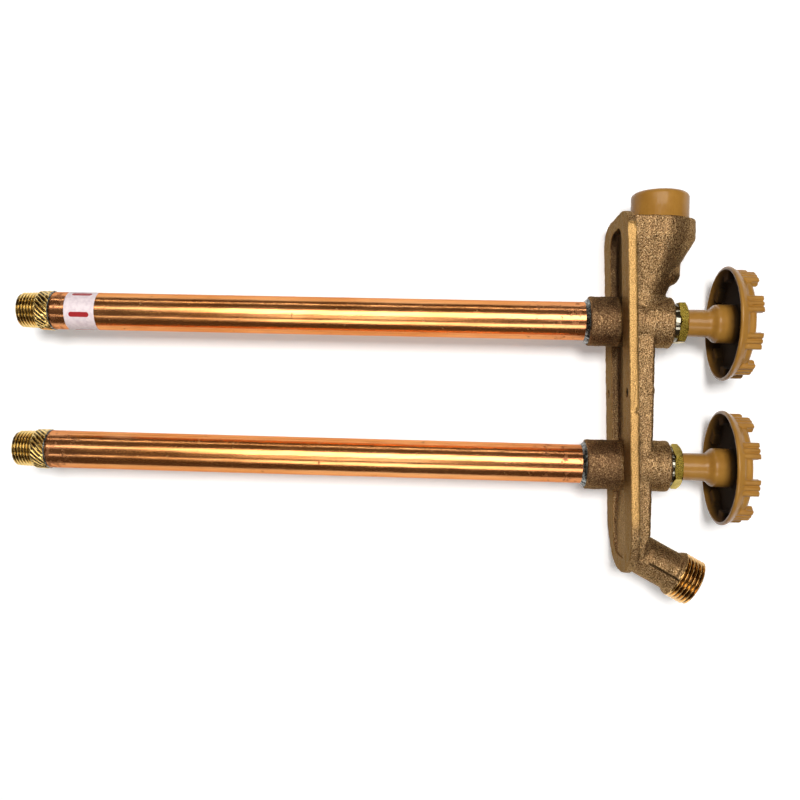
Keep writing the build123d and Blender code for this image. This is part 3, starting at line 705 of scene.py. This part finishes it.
def raised_floor(skin):
    """Lets the cored back grow shallow towards its lower end."""
    rise, start, end = 2.4, -40.0, -75.0
    x, y, z = skin.points.T
    inside = (np.abs(x) < CORE_SIDE) & (np.abs(z) < CORE_TOP) & (y > -FLANGE_THICK - 0.4) & (y < 0)
    skin.points[:, 1] += rise * inside * smoothstep(z, start, end) * smoothstep(y, -0.6, -4.2)


def worn_flange(skin):
    """Gives the flange's top its rounder arc and its edge the full width of its ground band."""
    corner_up, corner_size = 94.0, 7.5
    widening, lowering, thickening = 1.4, 1.0, 0.4
    x, y, z = skin.points.T
    flange = smoothstep(y, -FLANGE_THICK - 0.4, -FLANGE_THICK + 0.2)
    plate = flange * smoothstep(np.abs(x), 17.5, 24.0)
    skin.points[:, 0] += np.sign(x) * widening * plate * np.exp(-(((z - corner_up) / corner_size) ** 2))
    skin.points[:, 2] -= lowering * flange * smoothstep(z, 96.5, 102.0)
    front = smoothstep(np.abs(x), 28.0, 31.0) * smoothstep(y, -3.6, -4.4)
    skin.points[:, 1] -= thickening * front


def sink_under_thread(skin):
    """Draws the casting in behind the separate thread piece, so that only the thread shows there."""
    cover = 1.75
    start = place(SPOUT_OUT, SPOUT_UP)
    along, radius, _ = spout_place(skin.points)
    axis_points = start + along[:, None] * SPOUT_AXIS
    over = along > HOSE_THREAD_START + 0.2
    limit = np.where(over, HOSE_RADIUS - cover, np.inf)
    share = np.minimum(1.0, limit / np.maximum(radius, 1e-6))
    skin.points = axis_points + (skin.points - axis_points) * share[:, None]
    beyond = np.maximum(0, along - (SPOUT_LENGTH - 0.6))
    skin.points -= beyond[:, None] * SPOUT_AXIS


def thread_wave(phase, crest):
    """A thread's section from 0 in the root to 1 on the crest."""
    return np.clip((1 + crest) * (1 - np.abs(2 * (phase % 1.0) - 1)) - crest / 2, 0, 1)


def make_hose_thread():
    """The hose thread cut on the spout, with its rounded tip and bore."""
    pitch, depth, tip, deepest = 25.4 / 11.5, 1.43, 1.2, 11.2
    back = HOSE_THREAD_START - 0.6
    outline = sampled(
        (
            (back, SPOUT_BORE - 0.03),
            (back, HOSE_SHOULDER_RADIUS),
            (back + 0.8, HOSE_RADIUS),
            (SPOUT_LENGTH - tip, HOSE_RADIUS),
            (SPOUT_LENGTH, HOSE_RADIUS - tip),
            (SPOUT_LENGTH, SPOUT_BORE + 0.5),
            (SPOUT_LENGTH - 0.5, SPOUT_BORE - 0.03),
        ),
        0.11,
        4,
    )

    def relief(along, angle, radius):
        outside = smoothstep(radius, 10.5, 11.5)
        window = smoothstep(along, back + 0.2, back + 2.0)
        groove = 1 - thread_wave(along / pitch - angle / TURN, 0.25)
        wobble = 0.02 * ring_waves(along, angle, radius, 6.0, HOSE_SEED)
        cut = radius - outside * window * depth * groove
        return np.where(radius > 10.5, np.maximum(cut, deepest), radius) + wobble

    mesh = lathe("hose_thread", place(SPOUT_OUT, SPOUT_UP), SPOUT_AXIS, outline, 256, relief)
    piece = put("hose_thread", mesh, "hydrant_body", "cast_bronze")
    paint(piece, materials["machined_bronze"])


def make_tube(side, height, seed):
    """A drawn copper tube with the faint waviness of a handled one."""
    depth = 0.012
    outer = ((COLLAR_OUT, TUBE_RADIUS), (SOCKET_OUT, TUBE_RADIUS))
    outline = sampled(((COLLAR_OUT, TUBE_BORE), *outer, (SOCKET_OUT, TUBE_BORE)), 1.6, 0)

    def relief(along, angle, radius):
        return radius + depth * ring_waves(along * 0.4, angle, radius, 9.0, seed) - depth

    mesh = lathe(f"{side}_tube", place(0, height), OUT, outline, 144, relief)
    piece = put(f"{side}_tube", mesh, "hydrant_body", "copper", f"{side}_casing_tube")
    paint(piece, materials["copper"])


def make_inlet(side, height, seed):
    """An inlet fitting with a tapered pipe thread and a collar knurled on the slant."""
    pitch, depth, deepest = 25.4 / 14, 1.25, 9.05
    teeth, slant, tooth_pitch, tooth_depth = 24, math.radians(45), 2.2, 0.95
    mouth_bore, seat_bore = 7.99, 5.5
    shoulder = INLET_OUT + INLET_THREAD_LENGTH
    mouth_end = INLET_OUT + 12.7
    socket_end = COLLAR_OUT + 11.4
    outline = sampled(
        (
            (INLET_OUT, mouth_bore + 0.31),
            (INLET_OUT, INLET_THREAD_RADIUS - 1.0),
            (INLET_OUT + 0.9, INLET_THREAD_RADIUS - 0.33),
            (shoulder, INLET_THREAD_RADIUS),
            (shoulder, COLLAR_RADIUS - 0.5),
            (shoulder + 0.8, COLLAR_RADIUS - 0.25),
            (COLLAR_OUT - 0.3, COLLAR_RADIUS),
            (COLLAR_OUT, COLLAR_RADIUS - 0.4),
            (COLLAR_OUT, TUBE_BORE - 0.02),
            (socket_end, TUBE_BORE - 0.02),
            (socket_end, 7.3),
            (socket_end + 1.0, 6.8),
            (socket_end + 1.0, seat_bore),
            (mouth_end, seat_bore),
            (mouth_end, mouth_bore),
            (INLET_OUT + 0.3, mouth_bore),
        ),
        0.11,
        3,
    )

    def relief(along, angle, radius):
        groove = 1 - thread_wave(along / pitch - angle / TURN, 0.2)
        window = smoothstep(along, shoulder - 0.3, shoulder - 1.6) * smoothstep(radius, 9.1, 9.5)
        cut = np.maximum(radius - window * depth * groove, deepest)
        phase = teeth * angle / TURN - along * math.sin(slant) / tooth_pitch
        tooth = np.abs(2 * (phase % 1.0) - 1)
        knurl = smoothstep(along, shoulder + 0.2, shoulder + 0.9)
        knurl = knurl * smoothstep(along, COLLAR_OUT + 0.1, COLLAR_OUT - 0.3)
        knurl = knurl * smoothstep(radius, 11.0, 11.3)
        uneven = 0.75 + 0.25 * ring_waves(along, angle, radius, 5.0, seed)
        threaded = np.where((radius > 9.1) & (along < shoulder), cut, radius)
        return threaded - knurl * uneven * tooth_depth * smoothstep(tooth, 0.1, 0.9)

    mesh = lathe(f"{side}_inlet", place(0, height), OUT, outline, 288, relief)
    piece = put(f"{side}_inlet", mesh, "hydrant_body", "turned_brass", f"{side}_inlet_fitting")
    paint(piece, materials["inlet_brass"])


def make_body_solder(side, height, seed):
    """A solder fillet behind the body, thick and thin round the joint."""
    inner = TUBE_RADIUS - 0.1
    end = REAR_BOSS_END
    fillet = ((end + 0.4, inner), (end + 0.4, 13.2), (end - 0.9, 12.6), (end - 2.4, inner))
    outline = sampled(fillet, 0.2, 3)

    def relief(along, angle, radius):
        flow = 0.28 * ring_waves(along * 0.5, angle, radius, 5.0, seed)
        return radius + smoothstep(radius, 11.2, 12.0) * (flow - 0.1)

    mesh = lathe(f"{side}_body_solder_bead", place(0, height), OUT, outline, 180, relief)
    piece = put(f"{side}_body_solder_bead", mesh, "hydrant_body", "solder", f"{side}_body_solder")
    paint(piece, materials["solder"])


def make_inlet_solder(side, height, seed):
    """A thin ring of solder between the inlet's collar and the tube."""
    start, middle, end = COLLAR_OUT - 0.2, COLLAR_OUT + 0.25, COLLAR_OUT + 0.6
    outline = sampled(((start, 11.0), (start, 11.6), (middle, 11.45), (end, 11.0)), 0.09, 2)

    def relief(along, angle, radius):
        flow = 0.08 * ring_waves(along, angle, radius, 4.0, seed)
        return radius + smoothstep(radius, 11.1, 11.4) * flow

    mesh = lathe(f"{side}_inlet_solder_bead", place(0, height), OUT, outline, 180, relief)
    piece = put(f"{side}_inlet_solder_bead", mesh, "hydrant_body", "solder", f"{side}_inlet_solder")
    paint(piece, materials["solder"])


def make_label():
    """The film round the hot tube, slightly creased."""
    start, end = LABEL_OUT
    inner, outer, crease_depth = TUBE_RADIUS - 0.03, TUBE_RADIUS + 0.11, 0.05
    outline = sampled(((start, inner), (start, outer), (end, outer), (end, inner)), 0.25, 0)

    def relief(along, angle, radius):
        crease = np.abs(ring_waves(along, angle, radius, 7.0, LABEL_SEED))
        return radius + smoothstep(radius, 11.1, 11.2) * crease_depth * (0.3 - np.minimum(crease, 0.6))

    mesh = lathe("hot_label_film", place(0, VALVES["hot"]), OUT, outline, 240, relief)
    piece = put("hot_label_film", mesh, "hydrant_body", "label", "hot_label")
    paint(piece, materials["label_film"])


def finger_grooves(side, height, points):
    """How deep the grooves between each grip's three fingers go, in millimetres."""
    up, across, out = points @ UP - height, points @ SIDE, points @ OUT
    radius = np.hypot(up, across)
    pitch = TURN / GRIPS
    angle = np.arctan2(up, across) - TURN / 4 - HANDLE_TURN[side]
    off = np.abs((angle + pitch / 2) % pitch - pitch / 2) * radius
    groove = np.exp(-(((off - FINGER_PITCH / 2) / 0.5) ** 2))
    depth = 0.35 * smoothstep(out, GRIP_START + 0.3, GRIP_START + 1.5) + 0.5 * smoothstep(out, 64.5, 66.5)
    return depth * groove * smoothstep(radius, 26.5, 28.0)


def cup_shade(height, points, normals):
    """The handwheel cup's painted shade: brown at its mouth and nearly black towards its web and hub."""
    radial = (points @ UP - height)[:, None] * UP + (points @ SIDE)[:, None] * SIDE
    radius, out = np.linalg.norm(radial, axis=1), points @ OUT
    outward = np.einsum("ij,ij->i", normals, radial) / np.maximum(radius, 1e-6)
    wall = SKIRT_INSIDE - SKIRT_TAPER * np.maximum(out - TAPER_START, 0)
    before_web = smoothstep(out, CUP_END + 0.6, CUP_END + 0.2)
    inside = smoothstep(radius, wall + 0.55, wall + 0.2) * smoothstep(out, CUP_MOUTH - 0.2, CUP_MOUTH)
    inside = inside * before_web * smoothstep(outward, 0.4, 0.15)
    ring = inside * (0.5 + 0.45 * smoothstep(out, CUP_MOUTH, CUP_END - 2.5))
    hub = smoothstep(radius, SHOULDER_RADIUS + 2.4, SHOULDER_RADIUS + 1.6) * smoothstep(radius, 6.6, 7.2)
    hub = 0.93 * hub * smoothstep(out, CUP_END - 4.2, CUP_END - 0.6) * before_web
    return np.maximum(ring, hub)


def make_handle(side, height):
    """A handwheel with the soft edges of a moulded and coated part."""
    skin = Skin(f"{side}_handle", 0.36)
    p = skin.points
    radius = np.hypot(p @ UP - height, p @ SIDE)
    free = smoothstep(radius, 5.6, 6.6)
    fingers = smoothstep(radius, 27.0, 29.0) * smoothstep(p @ OUT, GRIP_START, GRIP_START + 1.0)
    skin.fill_corners(14, free * (1 - 0.9 * fingers))
    skin.points -= skin.normals() * finger_grooves(side, height, skin.points)[:, None]
    skin.soften(4, (0.3 + 0.7 * free) * (1 - 0.4 * fingers))
    mesh = skin.mesh(f"{side}_handwheel", cup_shade(height, skin.points, skin.normals()))
    piece = put(f"{side}_handwheel", mesh, f"{side}_spindle", "handwheel", f"{side}_handle")
    paint(piece, materials["handle_coat"])


def dress_nodes():
    """Gives the CAD nodes that stay their materials and softened edges."""
    for name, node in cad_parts.items():
        key = name.removeprefix("hot_").removeprefix("cold_")
        if key not in NODE_MATERIALS:
            continue
        node.data.materials.clear()
        node.data.materials.append(materials[NODE_MATERIALS[key]].material)
        weld = node.modifiers.new("weld", "WELD")
        weld.merge_threshold = 1e-6
        bevel = node.modifiers.new("bevel", "BEVEL")
        bevel.width = 0.12 * MM
        bevel.segments = 2
        bevel.limit_method = "ANGLE"
        bevel.angle_limit = math.radians(40)
        bevel.harden_normals = True


make_body()
make_hose_thread()
make_label()
for number, (side, height) in enumerate(VALVES.items()):
    make_tube(side, height, TUBE_SEED + number)
    make_inlet(side, height, INLET_SEED + number)
    make_body_solder(side, height, SOLDER_SEED + 2 * number)
    make_inlet_solder(side, height, SOLDER_SEED + 2 * number + 1)
    make_handle(side, height)
dress_nodes()


# Stage, in metres


def plane(name, centre, first, second):
    """A flat rectangle from its centre and two half sides."""
    c, a, b = (np.array(v, float) for v in (centre, first, second))
    corners = np.array((c - a - b, c + a - b, c + a + b, c - a + b))
    piece = bpy.data.objects.new(name, quad_mesh(name, corners, np.array([[0, 1, 2, 3]])))
    bpy.context.scene.collection.objects.link(piece)
    return piece


def background_share(nodes, links):
    """1 for the rays that show the background: camera, glossy and transmission rays."""
    path = nodes.new("ShaderNodeLightPath")
    value = path.outputs["Is Camera Ray"]
    for ray in ("Is Glossy Ray", "Is Transmission Ray"):
        add = nodes.new("ShaderNodeMath")
        add.operation = "MAXIMUM"
        links.new(value, add.inputs[0])
        links.new(path.outputs[ray], add.inputs[1])
        value = add.outputs[0]
    return value


def emission(nodes, color, strength):
    """A plain glow, as a shader socket."""
    node = nodes.new("ShaderNodeEmission")
    node.inputs["Color"].default_value = (*color, 1.0)
    node.inputs["Strength"].default_value = strength
    return node.outputs[0]


def make_world():
    """White behind everything that is seen, and a softer white as light."""
    world = bpy.data.worlds.new("studio")
    bpy.context.scene.world = world
    world.use_nodes = True
    nodes, links = world.node_tree.nodes, world.node_tree.links
    light = nodes["Background"]
    light.inputs["Color"].default_value = (1.0, 0.98, 0.96, 1.0)
    light.inputs["Strength"].default_value = 0.14
    seen = nodes.new("ShaderNodeBackground")
    seen.inputs["Strength"].default_value = 1.0
    seen.inputs["Color"].default_value = (1.0, 1.0, 1.0, 1.0)
    mix = nodes.new("ShaderNodeMixShader")
    links.new(background_share(nodes, links), mix.inputs[0])
    links.new(light.outputs[0], mix.inputs[1])
    links.new(seen.outputs[0], mix.inputs[2])
    links.new(mix.outputs[0], nodes["World Output"].inputs["Surface"])


def sheet_material(name, color, glow, one_sided):
    """A white matt sheet that glows a little and keeps shadows; a one-sided sheet is clear from behind."""
    material = bpy.data.materials.new(name)
    material.use_nodes = True
    nodes, links = material.node_tree.nodes, material.node_tree.links
    nodes.clear()
    matt = nodes.new("ShaderNodeBsdfDiffuse")
    matt.inputs["Color"].default_value = (*color, 1.0)
    add = nodes.new("ShaderNodeAddShader")
    links.new(matt.outputs[0], add.inputs[0])
    links.new(emission(nodes, (1.0, 1.0, 1.0), glow), add.inputs[1])
    result = add.outputs[0]
    if one_sided:
        behind = nodes.new("ShaderNodeNewGeometry").outputs["Backfacing"]
        mix = nodes.new("ShaderNodeMixShader")
        links.new(behind, mix.inputs[0])
        links.new(result, mix.inputs[1])
        links.new(nodes.new("ShaderNodeBsdfTransparent").outputs[0], mix.inputs[2])
        result = mix.outputs[0]
    links.new(result, nodes.new("ShaderNodeOutputMaterial").inputs["Surface"])
    return material


def make_sheets():
    """The white sheet that the hydrant lies against in the photograph's view, and a floor for other views."""
    sheet_side, floor_up = 0.0352, -0.36
    sheet = plane("backdrop_sheet", (sheet_side, 0.1, 0.0), (0, -3.0, 0), (0, 0, 3.0))
    sheet.data.materials.append(sheet_material("backdrop_white", (0.92, 0.92, 0.92), 0.24, True))
    sheet.visible_diffuse = False
    sheet.visible_shadow = False
    floor = plane("floor", (0.0, 0.1, floor_up), (4.0, 0, 0), (0, 4.0, 0))
    floor.data.materials.append(sheet_material("floor_white", (0.6, 0.6, 0.6), 0.5, False))
    floor.visible_shadow = False
    floor.visible_glossy = False
    floor.visible_diffuse = False


def make_room():
    """Dim walls that only reflections see, so that the metal has dark bands between the lamps."""
    strength = 0.085
    material = bpy.data.materials.new("room_brown")
    material.use_nodes = True
    nodes, links = material.node_tree.nodes, material.node_tree.links
    nodes.clear()
    out = nodes.new("ShaderNodeOutputMaterial")
    links.new(emission(nodes, (1.0, 0.74, 0.46), strength), out.inputs["Surface"])
    walls = (
        ((-2.4, 0.3, 0.0), (0, 4.0, 0), (0, 0, 2.4)),
        ((-1.2, 0.3, 2.4), (1.3, 0, 0), (0, 4.0, 0)),
        ((-1.2, 0.3, -2.4), (1.3, 0, 0), (0, 4.0, 0)),
        ((-1.2, -2.6, 0.0), (1.3, 0, 0), (0, 0, 2.4)),
        ((-1.2, 3.2, 0.0), (1.3, 0, 0), (0, 0, 2.4)),
    )
    for number, wall in enumerate(walls):
        piece = plane(f"room_wall_{number + 1}", *wall)
        piece.data.materials.append(material)
        for ray in ("camera", "diffuse", "shadow", "transmission", "volume_scatter"):
            setattr(piece, f"visible_{ray}", False)


def lamp(name, location, target, size, power, color=(1.0, 0.97, 0.92), mirrored=True, diffuse=True):
    """A rectangular lamp that faces a point; its long side lies along Y; metal may mirror it or not."""
    data = bpy.data.lights.new(name, "AREA")
    data.shape = "RECTANGLE"
    data.size, data.size_y = size
    data.energy = power
    data.color = color
    piece = bpy.data.objects.new(name, data)
    bpy.context.scene.collection.objects.link(piece)
    piece.location = location
    facing = Vector(target) - Vector(location)
    piece.rotation_euler = facing.to_track_quat("-Z", "Y").to_euler()
    piece.visible_glossy = mirrored
    piece.visible_diffuse = diffuse


def make_lamps():
    """Rows of lamps that the tubes mirror as bands, a soft key that casts the shadows, and weak fill."""
    lamp("upper_row", (-1.65, 0.06, 0.48), (0, 0.06, 0), (1.30, 0.80), 17.0, diffuse=False)
    lamp("upper_tail", (-1.65, 1.03, 0.60), (0, 1.03, 0), (0.64, 0.30), 1.6, diffuse=False)
    lamp("lower_row", (-1.40, 0.03, -1.08), (0, 0.03, 0), (1.24, 0.50), 6.3, diffuse=False)
    lamp("lower_tail", (-1.45, 1.00, -0.98), (0, 1.00, 0), (0.70, 0.20), 0.8, diffuse=False)
    lamp("high_row", (-0.72, 0.36, 1.62), (0, 0.36, 0), (1.90, 0.08), 2.2, diffuse=False)
    lamp("middle_glow", (-1.7, 0.36, -0.30), (0, 0.36, 0), (0.5, 0.5), 1.4, diffuse=False)
    lamp("key", (-1.70, 0.06, 0.24), (0, 0.0, 0), (0.36, 0.36), 25.0, (1.0, 0.985, 0.97), mirrored=False)
    lamp("fill_left", (0.3, 1.9, 0.9), (0, 0.1, 0), (1.2, 1.2), 1.6)
    lamp("fill_front", (0.5, -2.1, 0.7), (0, 0.0, 0), (1.2, 1.2), 3.5)
    lamp("fill_low", (-1.0, -0.5, -1.3), (0, 0.0, 0), (0.8, 0.8), 3.0, mirrored=False)
    lamp("fill_back", (1.8, 0.2, 0.7), (0, 0.1, 0), (1.2, 1.2), 6.0)


def make_camera():
    """The photograph's view: from the side, level, and turned a little."""
    data = bpy.data.cameras.new("camera")
    data.lens = 38.51
    data.sensor_width = 36.0
    data.clip_start = 0.01
    camera = bpy.data.objects.new("camera", data)
    bpy.context.scene.collection.objects.link(camera)
    heading, elevation, roll = 2.849, 0.4125, 0.552
    camera.location = Vector((-500.07, 100.82, -6.23)) * MM
    camera.rotation_euler = [math.radians(a) for a in (90 + elevation, roll, heading - 90)]
    bpy.context.scene.camera = camera


make_world()
make_sheets()
make_room()
make_lamps()
make_camera()
bpy.context.scene.view_settings.view_transform = "Standard"
